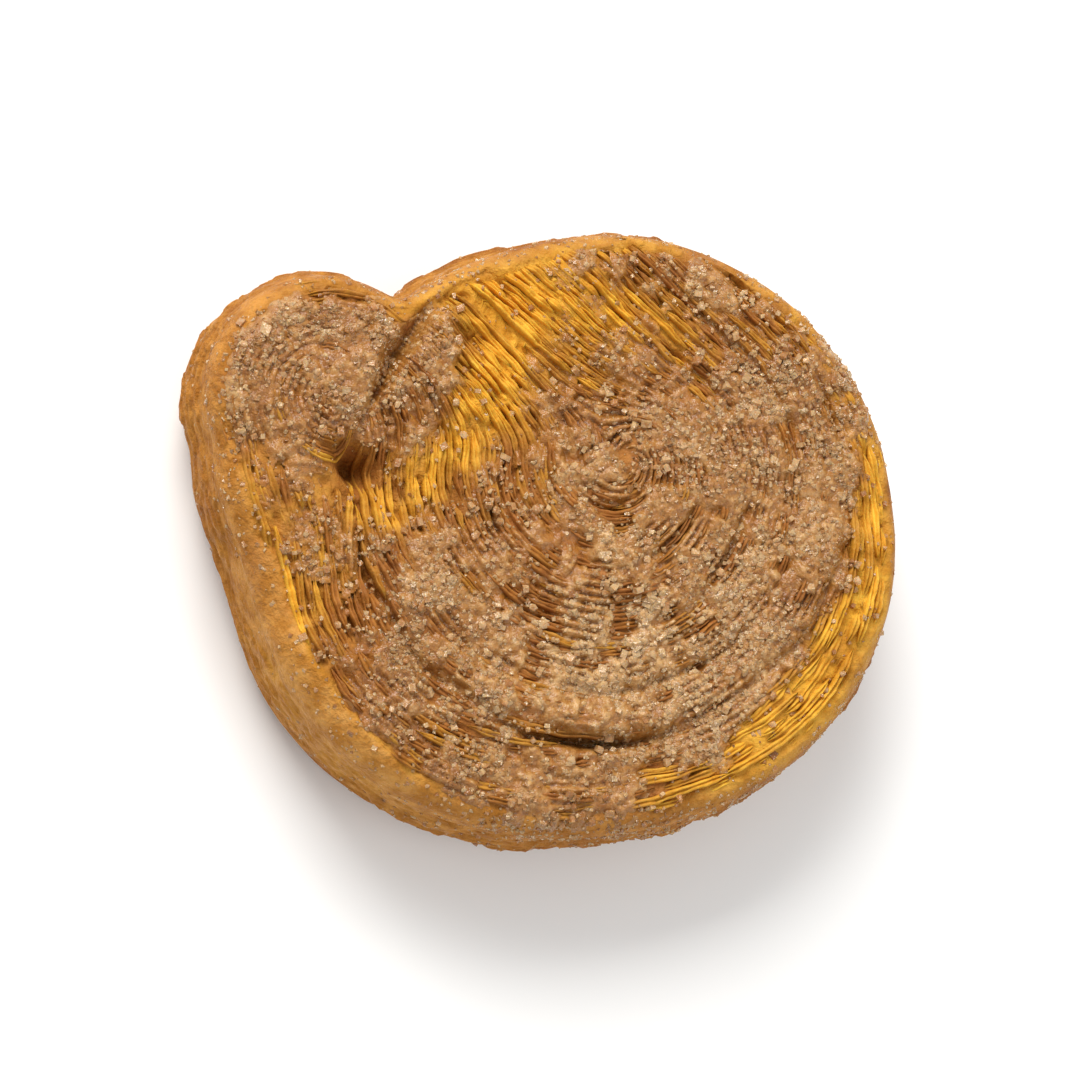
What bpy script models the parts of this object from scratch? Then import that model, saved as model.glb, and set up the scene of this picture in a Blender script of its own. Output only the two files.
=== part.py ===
"""A palmier biscuit: one sheet of puff pastry rolled from both ends into a large and a small
scroll, cut across and baked. It lies flat with a cut face up.

Metres, +Z up. +X runs along the longest side, from the small scroll to the large one. The
origin is the middle of the bounding box on the resting plane.
"""

import math

import bmesh
import bpy
from mathutils import Vector, noise

# Overall size of the baked piece
LENGTH = 0.055
WIDTH = 0.047
THICKNESS = 0.016

# Large scroll: a round roll whose eye sits above its middle
BIG_MIDDLE = Vector((0.0042, 0.0006))
BIG_RADIUS = 0.0224
BIG_EYE = Vector((0.0042, 0.0056))
BIG_TURNS = 3.3
# Its turns straighten and run out side by side toward the notch
NOTCH_BEARING = math.radians(135)
NOTCH_CROWDING = 2.0
NOTCH_LIMIT = 0.15
STRAIGHT_FROM = 0.10
STRAIGHT_TO = 0.45

# Small scroll, tucked against the upper left of the large one
SMALL_EYE = Vector((-0.0184, 0.0102))
SMALL_RADIUS = 0.0090
SMALL_TURNS = 1.7

# Shoulder of the shared outer turn, which bridges the scrolls on their lower left
SHOULDER_MIDDLE = Vector((-0.0040, -0.0020))
SHOULDER_RADIUS = 0.0196
SHOULDER_BLEND = 0.0060

# Where the scrolls meet: a sharp notch above, a long easy curve below
NOTCH_BLEND = 0.0012
UNDER_BLEND = 0.0100
NOTCH_TOP = 0.0120
NOTCH_FOOT = 0.0020

# Outer turn inside the large scroll's own circle, thin at the notch and thick underneath
FOLD_THIN = 0.0003
FOLD_GAIN = 0.0064
FOLD_THIN_SIDE = math.radians(115)
FOLD_SWELL = 1.5

# Relief of the cut face
RIM_ROUND = 0.0034
FACE_DISH = 0.0012
TURN_GROOVE = 0.0011
TURN_GROOVE_SHARE = 0.22
FOLD_GROOVE = 0.0010
FOLD_GROOVE_WIDTH = 0.0009
CRACK_DEPTH = 0.0034
CRACK_SIDE = math.radians(266)
CRACK_SPREAD = math.radians(34)
SEAM_DEPTH = 0.0034
SEAM_SIDE = math.radians(166)
SEAM_SPREAD = math.radians(20)
SMALL_DOME = 0.0006
UNEVEN = 0.0007
UNEVEN_GRAIN = 0.0090

# Side wall and underside
WALL_BULGE = 0.0005
FOOT_ROUND = 0.0024
UNDER_GROOVE = 0.0009
REST_SPOT = 0.0055
REST_SPOT_EDGE = 0.0015

# Mesh density
SEGMENTS = 96
CROWDED_SIDE = math.radians(160)
CROWDED_SPREAD = math.radians(28)
CROWDING = 1.6
INNER_RINGS = 20
FOLD_RINGS = 11
UNDER_INNER_RINGS = 10
UNDER_FOLD_RINGS = 5
WALL_RINGS = 3

CRUST_COLOR = (0.46, 0.22, 0.055, 1.0)
CRUST_ROUGHNESS = 0.55


def ease(low, high, value):
    """Smooth step from 0 at low to 1 at high."""
    share = min(1.0, max(0.0, (value - low) / (high - low)))
    return share * share * (3.0 - 2.0 * share)


def lobe(angle, middle, spread):
    """A bump of height 1 around one direction."""
    off = (angle - middle + math.pi) % math.tau - math.pi
    return math.exp(-((off / spread) ** 2))


def blend_low(a, b, width):
    """The lower of two values with a rounded join."""
    share = min(1.0, max(0.0, 0.5 + 0.5 * (b - a) / width))
    return b + (a - b) * share - width * share * (1.0 - share)


def big_field(point):
    """Distance outside the large scroll, negative inside it."""
    return (point - BIG_MIDDLE).length - BIG_RADIUS


def whole_field(point):
    """Distance outside both scrolls together, negative inside."""
    small = (point - SMALL_EYE).length - SMALL_RADIUS
    shoulder = (point - SHOULDER_MIDDLE).length - SHOULDER_RADIUS
    below = ease(-NOTCH_TOP, -NOTCH_FOOT, -point.y)
    width = NOTCH_BLEND + (UNDER_BLEND - NOTCH_BLEND) * below
    return blend_low(small, blend_low(shoulder, big_field(point), SHOULDER_BLEND), width)


def reach(field, angle):
    """How far the edge of a field lies from the large eye in one direction."""
    heading = Vector((math.cos(angle), math.sin(angle)))
    low = 0.0
    step = 0.0005
    while field(BIG_EYE + heading * (low + step)) < 0.0:
        low += step
    high = low + step
    for _ in range(24):
        mid = 0.5 * (low + high)
        if field(BIG_EYE + heading * mid) < 0.0:
            low = mid
        else:
            high = mid
    return 0.5 * (low + high)


def fold_thickness(angle):
    """Thickness of the shared outer turn in one direction from the large eye."""
    away = 0.5 - 0.5 * math.cos(angle - FOLD_THIN_SIDE)
    return FOLD_THIN + FOLD_GAIN * away ** FOLD_SWELL


def straightening(angle):
    """How much further out a turn runs in one direction than in an even scroll."""
    off = (angle - NOTCH_BEARING + math.pi) % math.tau - math.pi
    turned = NOTCH_CROWDING * off if off > 0.0 else -off
    return 1.0 / max(NOTCH_LIMIT, math.sin(min(turned, 0.5 * math.pi)))


def turn_reach(share, inner, angle):
    """Distance from the large eye of the turn at one share of the scroll's way out."""
    straight = ease(STRAIGHT_FROM, STRAIGHT_TO, share)
    return share * inner * (1.0 + (straightening(angle) - 1.0) * straight)


def turn_share(from_eye, inner, angle):
    """The share whose turn passes through a point, found by halving."""
    low = 0.0
    high = 1.5
    for _ in range(16):
        mid = 0.5 * (low + high)
        if turn_reach(mid, inner, angle) > from_eye:
            high = mid
        else:
            low = mid
    return 0.5 * (low + high)


def turn_groove(turn):
    """Depth share of the line between two turns, 1 on the line and 0 on the pastry."""
    off = turn - math.floor(turn) - 0.5
    return math.exp(-((off / TURN_GROOVE_SHARE) ** 2))


def scroll_grooves(point, angle, from_eye, inner, in_fold):
    """Depth share of the spiral lines of whichever scroll holds the point."""
    if not in_fold:
        share = turn_share(from_eye, inner, angle)
        return turn_groove(BIG_TURNS * share + angle / math.tau) * ease(0.02, 0.16, share)
    arm = point - SMALL_EYE
    share = arm.length / SMALL_RADIUS
    small_angle = math.atan2(arm.y, arm.x)
    within = ease(0.05, 0.25, share) * (1.0 - ease(0.80, 1.0, share))
    return turn_groove(SMALL_TURNS * share - small_angle / math.tau) * within


def uneven(point, seed):
    """Slow rise and fall of a baked surface, between about -1 and 1."""
    return noise.noise(Vector((point.x / UNEVEN_GRAIN, point.y / UNEVEN_GRAIN, seed)))


def face_height(point, angle, from_eye, inner, in_fold):
    """Height of the upper cut face over a point."""
    depth_in = max(0.0, -whole_field(point))
    height = THICKNESS - FACE_DISH * ease(0.0, BIG_RADIUS, (point - BIG_EYE).length)
    height += UNEVEN * uneven(point, 1.7)
    height += SMALL_DOME * math.exp(-(((point - SMALL_EYE).length / SMALL_RADIUS) ** 2))
    off_line = (from_eye - inner) / FOLD_GROOVE_WIDTH
    line = FOLD_GROOVE
    line += CRACK_DEPTH * lobe(angle, CRACK_SIDE, CRACK_SPREAD)
    line += SEAM_DEPTH * lobe(angle, SEAM_SIDE, SEAM_SPREAD)
    height -= line * math.exp(-(off_line ** 2)) * ease(0.0, RIM_ROUND, depth_in)
    height -= TURN_GROOVE * scroll_grooves(point, angle, from_eye, inner, in_fold)
    if depth_in < RIM_ROUND:
        outward = 1.0 - depth_in / RIM_ROUND
        height -= RIM_ROUND * (1.0 - math.sqrt(1.0 - outward * outward))
    return height


def foot_height(point, angle, from_eye, inner, in_fold):
    """Height of the underside over a point: flat lands with shallow spiral lines."""
    depth_in = max(0.0, -whole_field(point))
    off_line = (from_eye - inner) / FOLD_GROOVE_WIDTH
    lines = 0.5 * scroll_grooves(point, angle, from_eye, inner, in_fold)
    lines += 0.5 * math.exp(-(off_line ** 2))
    height = UNDER_GROOVE * lines * ease(REST_SPOT, REST_SPOT + REST_SPOT_EDGE, point.length)
    if depth_in < FOOT_ROUND:
        outward = 1.0 - depth_in / FOOT_ROUND
        height += FOOT_ROUND * (1.0 - math.sqrt(1.0 - outward * outward))
    return height


def directions():
    """Headings of the mesh's spokes, crowded toward the small scroll."""
    samples = 3600
    total = [0.0]
    for index in range(samples):
        angle = math.tau * index / samples
        total.append(total[-1] + 1.0 + CROWDING * lobe(angle, CROWDED_SIDE, CROWDED_SPREAD))
    headings = []
    index = 0
    for spoke in range(SEGMENTS):
        wanted = total[-1] * spoke / SEGMENTS
        while total[index + 1] < wanted:
            index += 1
        share = (wanted - total[index]) / (total[index + 1] - total[index])
        headings.append(math.tau * (index + share) / samples)
    return headings


def face_rings(mesh, spokes, height_of, inner_count, fold_count):
    """Rings of one cut face from next to the eye out to the edge, and the eye's vertex."""
    rings = []
    for ring in range(1, inner_count + fold_count + 1):
        row = []
        for angle, inner, outer in spokes:
            in_fold = ring > inner_count
            from_eye = inner * min(1.0, ring / inner_count)
            if in_fold:
                from_eye += (outer - inner) * (ring - inner_count) / fold_count
            point = BIG_EYE + from_eye * Vector((math.cos(angle), math.sin(angle)))
            height = height_of(point, angle, from_eye, inner, in_fold)
            row.append(mesh.verts.new((point.x, point.y, height)))
        rings.append(row)
    angle, inner, _ = spokes[0]
    eye_height = height_of(BIG_EYE, angle, 0.0, inner, False)
    eye = mesh.verts.new((BIG_EYE.x, BIG_EYE.y, eye_height))
    return rings, eye


def wall_rings(mesh, top_row, foot_row):
    """Rings between the two faces' edges, swelling a little at half height."""
    rings = []
    for ring in range(1, WALL_RINGS + 1):
        share = ring / (WALL_RINGS + 1)
        row = []
        for top, foot in zip(top_row, foot_row):
            outward = (top.co.xy - BIG_MIDDLE).normalized()
            place = top.co.lerp(foot.co, share)
            swell = WALL_BULGE * math.sin(math.pi * share)
            row.append(mesh.verts.new((place.x + outward.x * swell, place.y + outward.y * swell, place.z)))
        rings.append(row)
    return rings


def join_rows(mesh, outer, inner):
    """Quads between two rings of equal count."""
    count = len(outer)
    for spoke in range(count):
        after = (spoke + 1) % count
        mesh.faces.new((inner[spoke], outer[spoke], outer[after], inner[after]))


def close_eye(mesh, row, eye):
    """Triangles from the innermost ring to the eye."""
    for spoke in range(len(row)):
        mesh.faces.new((eye, row[spoke], row[(spoke + 1) % len(row)]))


def fit_to_size(mesh):
    """Moves and scales the mesh to the overall size, centred on the resting plane."""
    low = Vector([min(vert.co[axis] for vert in mesh.verts) for axis in range(3)])
    high = Vector([max(vert.co[axis] for vert in mesh.verts) for axis in range(3)])
    span = high - low
    middle = Vector(((low.x + high.x) / 2.0, (low.y + high.y) / 2.0, low.z))
    bmesh.ops.translate(mesh, vec=-middle, verts=mesh.verts)
    scale = Vector((LENGTH / span.x, WIDTH / span.y, THICKNESS / span.z))
    bmesh.ops.scale(mesh, vec=scale, verts=mesh.verts)


def build_pastry():
    """The whole biscuit as one closed mesh."""
    mesh = bmesh.new()
    spokes = []
    for angle in directions():
        outer = reach(whole_field, angle)
        inner = min(reach(big_field, angle) - fold_thickness(angle), outer - FOLD_THIN)
        spokes.append((angle, inner, outer))
    face, face_eye = face_rings(mesh, spokes, face_height, INNER_RINGS, FOLD_RINGS)
    foot, foot_eye = face_rings(mesh, spokes, foot_height, UNDER_INNER_RINGS, UNDER_FOLD_RINGS)
    rows = face + wall_rings(mesh, face[-1], foot[-1]) + foot[::-1]
    for inner_row, outer_row in zip(rows, rows[1:]):
        join_rows(mesh, outer_row, inner_row)
    close_eye(mesh, face[0], face_eye)
    close_eye(mesh, foot[0], foot_eye)
    bmesh.ops.recalc_face_normals(mesh, faces=mesh.faces)
    fit_to_size(mesh)
    return mesh


def crust_material():
    """Browned pastry."""
    material = bpy.data.materials.new("baked_crust")
    material.use_nodes = True
    shader = material.node_tree.nodes["Principled BSDF"]
    shader.inputs["Base Color"].default_value = CRUST_COLOR
    shader.inputs["Roughness"].default_value = CRUST_ROUGHNESS
    return material


for old in list(bpy.data.objects):
    bpy.data.objects.remove(old, do_unlink=True)

palmier_mesh = bpy.data.meshes.new("palmier")
palmier_form = build_pastry()
palmier_form.to_mesh(palmier_mesh)
palmier_form.free()
for polygon in palmier_mesh.polygons:
    polygon.use_smooth = True
palmier_mesh.materials.append(crust_material())
palmier = bpy.data.objects.new("palmier", palmier_mesh)
collection = bpy.data.collections.new("Palmier")
bpy.context.scene.collection.children.link(collection)
collection.objects.link(palmier)
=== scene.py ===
import math

import bmesh
import bpy
import numpy as np
from mathutils import Matrix, Vector
from mathutils.bvhtree import BVHTree


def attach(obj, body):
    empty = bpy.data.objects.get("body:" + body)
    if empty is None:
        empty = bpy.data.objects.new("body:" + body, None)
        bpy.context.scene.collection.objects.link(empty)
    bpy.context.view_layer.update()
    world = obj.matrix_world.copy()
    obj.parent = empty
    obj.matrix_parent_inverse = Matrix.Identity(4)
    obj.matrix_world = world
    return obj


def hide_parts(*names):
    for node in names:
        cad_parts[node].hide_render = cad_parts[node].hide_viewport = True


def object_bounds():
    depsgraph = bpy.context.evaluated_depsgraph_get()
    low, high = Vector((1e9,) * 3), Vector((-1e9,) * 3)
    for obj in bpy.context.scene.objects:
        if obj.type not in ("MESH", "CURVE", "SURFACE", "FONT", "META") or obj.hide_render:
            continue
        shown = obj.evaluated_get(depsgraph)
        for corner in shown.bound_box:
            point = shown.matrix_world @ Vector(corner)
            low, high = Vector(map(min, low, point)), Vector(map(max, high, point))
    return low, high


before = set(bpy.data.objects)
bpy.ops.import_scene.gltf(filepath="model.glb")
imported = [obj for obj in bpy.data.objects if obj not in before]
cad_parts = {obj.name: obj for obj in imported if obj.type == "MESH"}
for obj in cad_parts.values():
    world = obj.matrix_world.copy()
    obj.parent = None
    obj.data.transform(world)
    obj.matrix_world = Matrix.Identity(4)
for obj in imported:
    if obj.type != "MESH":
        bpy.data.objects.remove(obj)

cad_low, cad_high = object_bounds()
cad_low = Vector(cad_low)
cad_high = Vector(cad_high)


# ---------------------------------------------------------------------------------------------
# Camera, table and light. The biscuit lies flat, and the camera looks down on its cut face from
# a little to the left. The table is plain and near white, under a large soft lamp, a weaker one
# across from it and an even room light. Sizes here are metres.
CAMERA_LEAN = math.radians(16.0)
CAMERA_SIDE = math.radians(200.0)
CAMERA_DISTANCE = 0.46
CAMERA_LENS = 205.0
AIM = Vector((-0.0006, -0.0002, 0.0095))
LAMP_AIM = Vector((0.0, 0.0, 0.01))
ROOM_LIGHT = 0.60
TABLE_HALF = 1.5

offset = Vector((math.sin(CAMERA_LEAN) * math.cos(CAMERA_SIDE),
                 math.sin(CAMERA_LEAN) * math.sin(CAMERA_SIDE),
                 math.cos(CAMERA_LEAN)))
ahead = -offset
upward = (Vector((0.0, 1.0, 0.0)) - ahead * ahead.y).normalized()
rightward = ahead.cross(upward)
camera_data = bpy.data.cameras.new("camera")
camera_data.lens = CAMERA_LENS
camera_data.clip_start = 0.01
camera = bpy.data.objects.new("camera", camera_data)
camera.matrix_world = Matrix((
    (rightward.x, upward.x, offset.x, AIM.x + offset.x * CAMERA_DISTANCE),
    (rightward.y, upward.y, offset.y, AIM.y + offset.y * CAMERA_DISTANCE),
    (rightward.z, upward.z, offset.z, AIM.z + offset.z * CAMERA_DISTANCE),
    (0.0, 0.0, 0.0, 1.0)))
bpy.context.scene.collection.objects.link(camera)
bpy.context.scene.camera = camera


def lamp(name, place, width, power, tint):
    """A square soft lamp that faces the biscuit."""
    data = bpy.data.lights.new(name, "AREA")
    data.size = width
    data.energy = power
    data.color = tint
    holder = bpy.data.objects.new(name, data)
    holder.location = place
    holder.rotation_euler = (LAMP_AIM - Vector(place)).to_track_quat("-Z", "Y").to_euler()
    bpy.context.scene.collection.objects.link(holder)


lamp("key_lamp", (-0.16, 0.42, 0.42), 0.34, 4.3, (1.0, 0.985, 0.96))
lamp("fill_lamp", (0.45, -0.30, 0.50), 0.50, 1.3, (0.97, 0.985, 1.0))

room = bpy.data.worlds.new("room")
room.use_nodes = True
room.node_tree.nodes["Background"].inputs["Color"].default_value = (1.0, 1.0, 1.0, 1.0)
room.node_tree.nodes["Background"].inputs["Strength"].default_value = ROOM_LIGHT
bpy.context.scene.world = room
bpy.context.scene.view_settings.view_transform = "Standard"

table_material = bpy.data.materials.new("pale_table")
table_material.use_nodes = True
table_shader = table_material.node_tree.nodes["Principled BSDF"]
table_shader.inputs["Base Color"].default_value = (0.93, 0.93, 0.92, 1.0)
table_shader.inputs["Roughness"].default_value = 0.8
table_mesh = bpy.data.meshes.new("table")
table_corners = [(TABLE_HALF * x, TABLE_HALF * y, 0.0) for x, y in ((-1, -1), (1, -1), (1, 1), (-1, 1))]
table_mesh.from_pydata(table_corners, [], [(0, 1, 2, 3)])
table_mesh.materials.append(table_material)
table = bpy.data.objects.new("table", table_mesh)
bpy.context.scene.collection.objects.link(table)


# ---------------------------------------------------------------------------------------------
# The baked roll: one sheet of puff pastry rolled from both ends, a large and a small scroll with
# a shared outer fold. Its two pieces are the crumb between the leaves of the cut face, and the
# browned skin round the side with the flat foot.

# From here on shapes are in millimetres, with directions in degrees counter-clockwise from +X,
# and the materials' noise and relief are in metres.
BIG_MIDDLE = (4.2, 0.6)
BIG_RADIUS = 22.4
BIG_EYE = (4.2, 5.6)
SMALL_EYE = (-18.4, 10.2)
SMALL_RADIUS = 9.0
SHOULDER_MIDDLE = (-4.0, -2.0)
SHOULDER_RADIUS = 19.6
JOIN_WIDTHS = (1.2, 8.8, 6.0)
FACE_TOP = 15.2
DOME_DROP = 1.1
RIM_ROUND = 3.0
FOOT_ROUND = 2.2
SHEET_LEAVES = 7
BIG_LEAVES = 32
FOLD_LEAST = 0.3
FOLD_MORE = 6.4
FOLD_SIDE = math.radians(115.0)
NOTCH_BEARING = 135.0
NOTCH_CROWDING = 2.0
STRAIGHT_FROM = 0.10
STRAIGHT_TO = 0.45
HALVINGS = 14
SMALL_SHARE = 0.002
SMALL_TURN = 0.01
BAND_SPOTS = ((-5.0, 17.0, 6.2), (-5.2, 13.2, 5.0), (-6.6, 9.8, 3.5), (-8.6, 6.6, 2.7),
              (-11.2, 3.9, 2.5), (-13.6, 1.2, 2.3))
GAP_DEPTH = 0.62
WIDEST_LEAF = 0.74
LARGE_START = math.radians(146.0)
DITCH_DEPTH = 0.9
PIT_MIDDLE = (-16.4, 4.6)
PIT_SIZE = (2.3, 1.5)
PIT_DEPTH = 3.8
# Cracks along the join of the inner scroll and the outer fold: depth, direction, spread.
CRACKS = ((2.8, 263.0, 12.0), (0.3, 305.0, 26.0), (0.5, 228.0, 12.0), (1.7, 204.0, 7.0))
SEAM = (1.9, 153.0, 15.0)
# Patches of the face: middle in x and in y, half width in x and in y.
LEFT_LEAVES = (-19.5, -4.5, 5.5, 7.0)
LEFT_GOLD = (-20.0, -5.0, 4.5, 9.0)
LEFT_TOAST = (-16.0, -9.5, 3.6, 5.0)
TOP_LEAVES = (6.0, 16.0, 6.5, 3.2)
TOP_GOLD = (5.5, 16.0, 6.5, 3.2)
CORNER_SUGAR = (21.5, 12.0, 3.0, 4.5)
UNDER_EYE = (-2.5, -2.5, 6.5, 3.0)
BESIDE_EYE = (-5.0, 2.8, 4.5, 4.0)
PIT_EDGE = (-16.4, 4.4, 2.4, 2.0)
PIT_HOLLOW = (*PIT_MIDDLE, 2.2, 1.8)
SEAM_GOLD = (-15.0, 0.0, 4.0, 5.0)
SEAM_TOAST = (-14.0, -1.5, 2.6, 4.0)
LATTICE = 128
lattices = np.random.default_rng(11).random((25, LATTICE, LATTICE))


def ease(low, high, value):
    """Smooth step from 0 at low to 1 at high."""
    share = np.clip((value - low) / (high - low), 0.0, 1.0)
    return share * share * (3.0 - 2.0 * share)


def grain(x, y, size, seed):
    """Smooth random relief between -1 and 1 whose lumps are about size across."""
    grid = lattices[seed % len(lattices)]
    gx = np.asarray(x, float) / size + 37.3 * seed
    gy = np.asarray(y, float) / size + 17.9 * seed
    ix = np.floor(gx).astype(int)
    iy = np.floor(gy).astype(int)
    fx = gx - ix
    fy = gy - iy
    fx = fx * fx * (3.0 - 2.0 * fx)
    fy = fy * fy * (3.0 - 2.0 * fy)
    a = grid[ix % LATTICE, iy % LATTICE]
    b = grid[(ix + 1) % LATTICE, iy % LATTICE]
    c = grid[ix % LATTICE, (iy + 1) % LATTICE]
    d = grid[(ix + 1) % LATTICE, (iy + 1) % LATTICE]
    return 2.0 * ((a * (1 - fx) + b * fx) * (1 - fy) + (c * (1 - fx) + d * fx) * fy) - 1.0


def blend_low(a, b, width):
    """The lower of two values with a rounded join."""
    share = np.clip(0.5 + 0.5 * (b - a) / width, 0.0, 1.0)
    return b + (a - b) * share - width * share * (1.0 - share)


def bearing(x, y):
    """Direction of a point from the middle of the large scroll."""
    return np.arctan2(y - BIG_MIDDLE[1], x - BIG_MIDDLE[0])


def big_field(x, y):
    """Distance outside the large scroll, negative inside it."""
    return np.hypot(x - BIG_MIDDLE[0], y - BIG_MIDDLE[1]) - BIG_RADIUS


def whole_field(x, y):
    """Distance outside the whole roll, negative inside it."""
    small = np.hypot(x - SMALL_EYE[0], y - SMALL_EYE[1]) - SMALL_RADIUS
    shoulder = np.hypot(x - SHOULDER_MIDDLE[0], y - SHOULDER_MIDDLE[1]) - SHOULDER_RADIUS
    above, more_below, right = JOIN_WIDTHS
    width = above + more_below * ease(-12.0, -2.0, -np.asarray(y, float))
    return blend_low(small, blend_low(shoulder, big_field(x, y), right), width)


def reach(field, angle):
    """How far the edge of a field lies from the large eye, for an array of directions."""
    rho = np.arange(0.0, 36.0, 0.02)
    x = BIG_EYE[0] + np.cos(angle)[:, None] * rho
    y = BIG_EYE[1] + np.sin(angle)[:, None] * rho
    return rho[np.argmax(field(x, y) > 0.0, axis=1)]


def lobe(angle, middle, spread):
    """A bump of height 1 around one direction: angle in radians, middle and spread in degrees."""
    off = (np.degrees(angle) - middle + 180.0) % 360.0 - 180.0
    return np.exp(-(off / spread) ** 2)


compass = np.linspace(0.0, math.tau, 1441)
outer_table = reach(whole_field, compass)
fold_table = FOLD_LEAST + FOLD_MORE * (0.5 - 0.5 * np.cos(compass - FOLD_SIDE)) ** 1.5
inner_table = np.minimum(reach(big_field, compass) - fold_table, outer_table - FOLD_LEAST)


def from_big_eye(x, y):
    """Direction and distance from the large eye, and how far the inner scroll reaches there."""
    angle = np.arctan2(y - BIG_EYE[1], x - BIG_EYE[0]) % math.tau
    rho = np.hypot(x - BIG_EYE[0], y - BIG_EYE[1])
    return angle, rho, np.interp(angle, compass, inner_table)


def flare(angle):
    """How much further out a leaf runs than in an even scroll, where it straightens to the notch."""
    off = (np.degrees(angle) - NOTCH_BEARING + 180.0) % 360.0 - 180.0
    turned = np.minimum(np.where(off > 0.0, NOTCH_CROWDING * off, -off), 90.0)
    return 1.0 / np.maximum(np.sin(np.radians(turned)), 0.05)


def turn_reach(share, inner, angle):
    """Distance from the large eye of the leaf at one share of the scroll's way out."""
    return share * inner * (1.0 + (flare(angle) - 1.0) * ease(STRAIGHT_FROM, STRAIGHT_TO, share))


def turn_share(rho, inner, angle):
    """The share whose leaf passes through a point, found by halving."""
    low = np.zeros(np.shape(rho))
    high = low + 1.5
    for _ in range(HALVINGS):
        middle = 0.5 * (low + high)
        beyond = turn_reach(middle, inner, angle) > rho
        high = np.where(beyond, middle, high)
        low = np.where(beyond, low, middle)
    return 0.5 * (low + high)


def hill(x, y, middle_x, middle_y, wide_x, wide_y):
    """A smooth bump of height 1 over an oval patch of the face."""
    return np.exp(-(((x - middle_x) / wide_x) ** 2 + ((y - middle_y) / wide_y) ** 2))


def golden_band(x, y):
    """The stripe of clean yellow leaves from the notch side down along the seam."""
    band = np.zeros(np.shape(x))
    for middle_x, middle_y, radius in BAND_SPOTS:
        band = np.maximum(band, hill(x, y, middle_x, middle_y, radius, radius))
    return band


def right_rim(x, y):
    """The clean outer fold down the large scroll's right side, from the top right to below."""
    angle = bearing(x, y)
    inward = -whole_field(x, y) + 0.8 * grain(x, y, 3.0, 0)
    limit = 3.2 + 2.4 * lobe(angle, -42.0, 34.0)
    beside = np.clip(lobe(angle, -24.0, 46.0) * 1.8, 0.0, 1.0)
    return (1.0 - ease(limit - 1.0, limit + 1.2, inward)) * beside


def smooth_rim(x, y):
    """Where the roll's smooth pale skin comes up over the lower left edge, 0 to 1."""
    return lobe(bearing(x, y), 214.0, 24.0)


def crust(x, y):
    """How thick the sugar crust lies: 0 where bare leaves show, 1 where it hides them."""
    angle = bearing(x, y)
    sugared_edge = np.clip(lobe(angle, 268.0, 30.0) + lobe(angle, 34.0, 20.0), 0.0, 1.0)
    inward = -whole_field(x, y) - smooth_rim(x, y) + 0.6 * grain(x, y, 2.0, 12)
    edge = (1.0 - ease(0.2, 2.6, inward)) * (1.0 - sugared_edge)
    bare = golden_band(x, y) + 0.55 * hill(x, y, *LEFT_LEAVES) + 0.5 * hill(x, y, *TOP_LEAVES)
    bare = bare + 0.34 * hill(x, y, *UNDER_EYE) + 0.7 * edge + 0.85 * right_rim(x, y)
    bare = bare - 0.5 * hill(x, y, *CORNER_SUGAR) + 0.9 * hill(x, y, *PIT_EDGE)
    bare = bare + 0.20 * hill(x, y, *BESIDE_EYE) + 0.26 * hill(x, y, *LEFT_TOAST)
    patchy = 0.30 * grain(x, y, 3.4, 3) + 0.34 * grain(x, y, 1.3, 4) + 0.16 * grain(x, y, 0.6, 13)
    return np.clip(0.70 - bare + patchy, 0.0, 1.0)


def face_form(x, y):
    """Height of the leaves' tops over a point of the cut face, before their own unevenness."""
    angle, rho, inner = from_big_eye(x, y)
    depth_in = np.maximum(0.0, -whole_field(x, y))
    height = FACE_TOP - DOME_DROP * ease(0.0, 22.0, rho)
    height += 0.55 * grain(x, y, 9.0, 5) + 0.30 * grain(x, y, 4.0, 6)
    height += 0.5 * np.exp(-(np.hypot(x - SMALL_EYE[0], y - SMALL_EYE[1]) / 8.0) ** 2)
    off_line = rho - inner + 0.45 * grain(x, y, 3.0, 7)
    crack = sum(deep * lobe(angle, middle, spread) for deep, middle, spread in CRACKS)
    seam = SEAM[0] * lobe(angle, SEAM[1], SEAM[2])
    narrow = np.exp(-(off_line / (0.45 + 0.12 * seam)) ** 2)
    height -= (0.20 + crack + seam) * narrow * ease(0.0, 2.5, depth_in)
    height += 0.55 * np.exp(-((off_line + 1.6) / 1.2) ** 2) * lobe(angle, 265.0, 60.0)
    share = turn_share(rho, inner, angle)
    turn = share * BIG_LEAVES / SHEET_LEAVES + angle / math.tau + 0.06 * grain(x, y, 5.0, 8)
    ditch = np.exp(-((turn - np.floor(turn) - 0.5) / 0.09) ** 2)
    deep = 0.40 + 0.60 * grain(x, y, 5.0, 9)
    height -= np.clip(deep, 0.0, 1.0) * DITCH_DEPTH * ditch * (rho < inner) * ease(0.06, 0.2, share)
    along_pit = (x - PIT_MIDDLE[0]) - (y - PIT_MIDDLE[1])
    across_pit = (x - PIT_MIDDLE[0]) + (y - PIT_MIDDLE[1])
    height -= PIT_DEPTH * np.exp(-((along_pit / PIT_SIZE[0]) ** 2 + (across_pit / PIT_SIZE[1]) ** 2))
    outward = np.clip(1.0 - depth_in / RIM_ROUND, 0.0, 1.0)
    return height - RIM_ROUND * (1.0 - np.sqrt(1.0 - outward ** 2))


def leafy(x, y):
    """1 where leaves are cut open, 0 on the skin that rolls over the rim."""
    return ease(0.7, 1.8, -whole_field(x, y) - 1.1 * smooth_rim(x, y) + 0.35 * grain(x, y, 2.5, 10))


def slots(x, y):
    """Where the narrow gaps between leaves stand open, 0 to 1."""
    open_share = 0.26 + 0.35 * grain(x, y, 3.0, 2) + 0.60 * grain(x, y, 1.1, 1)
    open_share = open_share + 0.45 * grain(x, y, 0.55, 3)
    closed = 0.30 * crust(x, y) + 0.30 * right_rim(x, y) + 0.30 * golden_band(x, y)
    return np.clip(open_share - closed, 0.0, 1.0)


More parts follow.
